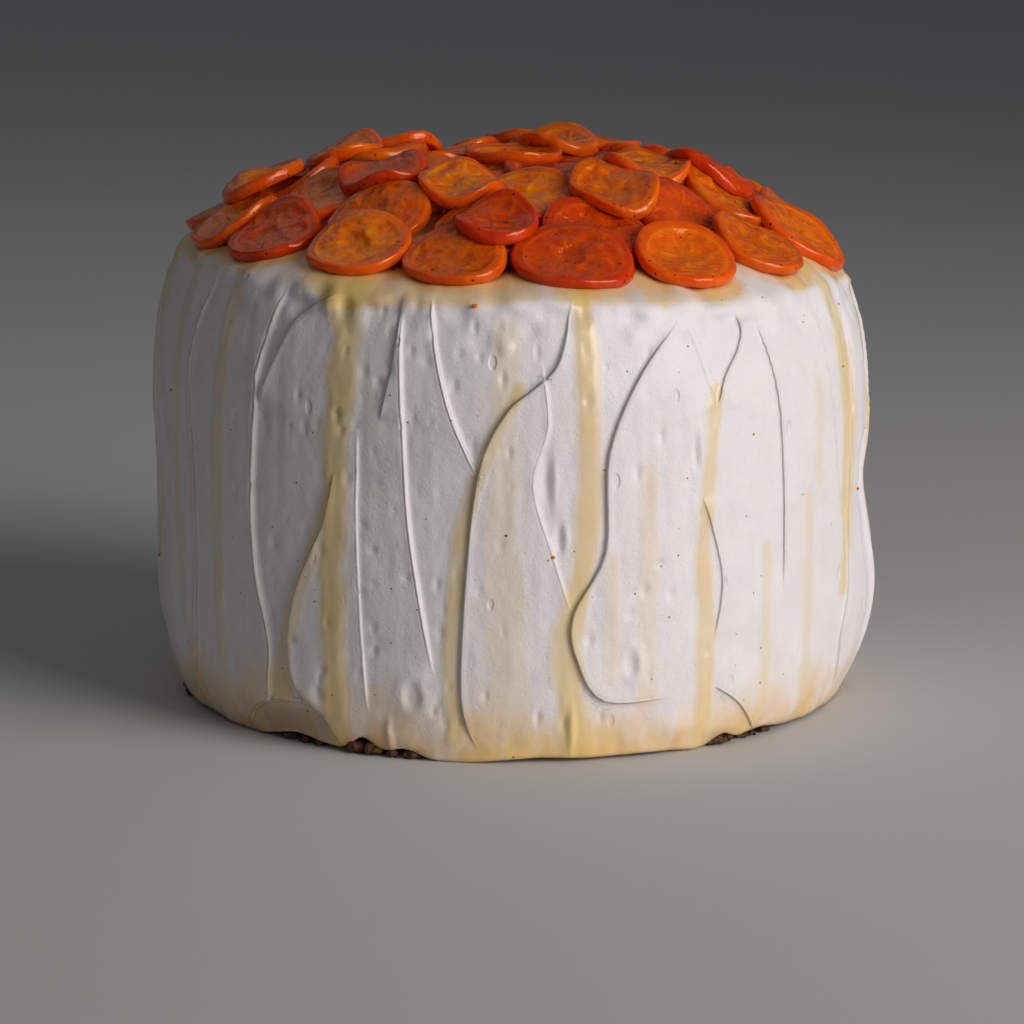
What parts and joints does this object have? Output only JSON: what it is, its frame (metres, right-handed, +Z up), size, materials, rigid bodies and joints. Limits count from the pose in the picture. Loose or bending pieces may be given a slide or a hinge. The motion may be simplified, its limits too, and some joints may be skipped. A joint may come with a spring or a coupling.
{
  "type": "parsnip cake",
  "caption": "Tall round cake coated in knife-stroked cream frosting, with a domed top covered in overlapping candied kumquat slices.",
  "frame": {"origin": "middle of the flat face that the cake stands on", "axes": "+Z up along the cake's axis; -Y towards the side that the picture shows; +X to that side's right"},
  "size_m": [0.172, 0.1705, 0.1335],
  "materials": {
    "frosting": "soft cream frosting with a faint sheen",
    "sponge": "dark moist crumb",
    "kumquat deep": "glossy candied fruit, red-orange",
    "kumquat orange": "glossy candied fruit, orange",
    "kumquat amber": "glossy candied fruit, amber"
  },
  "bodies": {
    "root": {"frosting": "frosting", "kumquat_slice_01": "kumquat orange", "kumquat_slice_02": "kumquat amber", "kumquat_slice_03": "kumquat orange", "kumquat_slice_04": "kumquat deep", "kumquat_slice_05": "kumquat deep", "kumquat_slice_06": "kumquat orange", "kumquat_slice_07": "kumquat orange", "kumquat_slice_08": "kumquat orange", "kumquat_slice_09": "kumquat orange", "kumquat_slice_10": "kumquat orange", "kumquat_slice_11": "kumquat orange", "kumquat_slice_12": "kumquat deep", "kumquat_slice_13": "kumquat amber", "kumquat_slice_14": "kumquat orange", "kumquat_slice_15": "kumquat orange", "kumquat_slice_16": "kumquat amber", "kumquat_slice_17": "kumquat amber", "kumquat_slice_18": "kumquat orange", "kumquat_slice_19": "kumquat orange", "kumquat_slice_20": "kumquat orange", "kumquat_slice_21": "kumquat amber", "kumquat_slice_22": "kumquat deep", "kumquat_slice_23": "kumquat amber", "kumquat_slice_24": "kumquat orange", "kumquat_slice_25": "kumquat amber", "kumquat_slice_26": "kumquat deep", "kumquat_slice_27": "kumquat amber", "kumquat_slice_28": "kumquat deep", "kumquat_slice_29": "kumquat orange", "kumquat_slice_30": "kumquat amber", "kumquat_slice_31": "kumquat orange", "kumquat_slice_32": "kumquat amber", "kumquat_slice_33": "kumquat orange", "kumquat_slice_34": "kumquat deep", "kumquat_slice_35": "kumquat amber", "kumquat_slice_36": "kumquat orange", "kumquat_slice_37": "kumquat amber", "kumquat_slice_38": "kumquat amber", "kumquat_slice_39": "kumquat deep", "kumquat_slice_40": "kumquat orange", "kumquat_slice_41": "kumquat orange", "kumquat_slice_42": "kumquat deep", "kumquat_slice_43": "kumquat orange", "kumquat_slice_44": "kumquat orange", "kumquat_slice_45": "kumquat orange", "kumquat_slice_46": "kumquat amber", "kumquat_slice_47": "kumquat orange", "kumquat_slice_48": "kumquat amber", "kumquat_slice_49": "kumquat orange", "kumquat_slice_50": "kumquat amber", "kumquat_slice_51": "kumquat deep", "kumquat_slice_52": "kumquat deep", "kumquat_slice_53": "kumquat orange", "kumquat_slice_54": "kumquat deep", "kumquat_slice_55": "kumquat orange", "kumquat_slice_56": "kumquat deep", "kumquat_slice_57": "kumquat deep", "sponge_base": "sponge"}
  },
  "joints": []
}
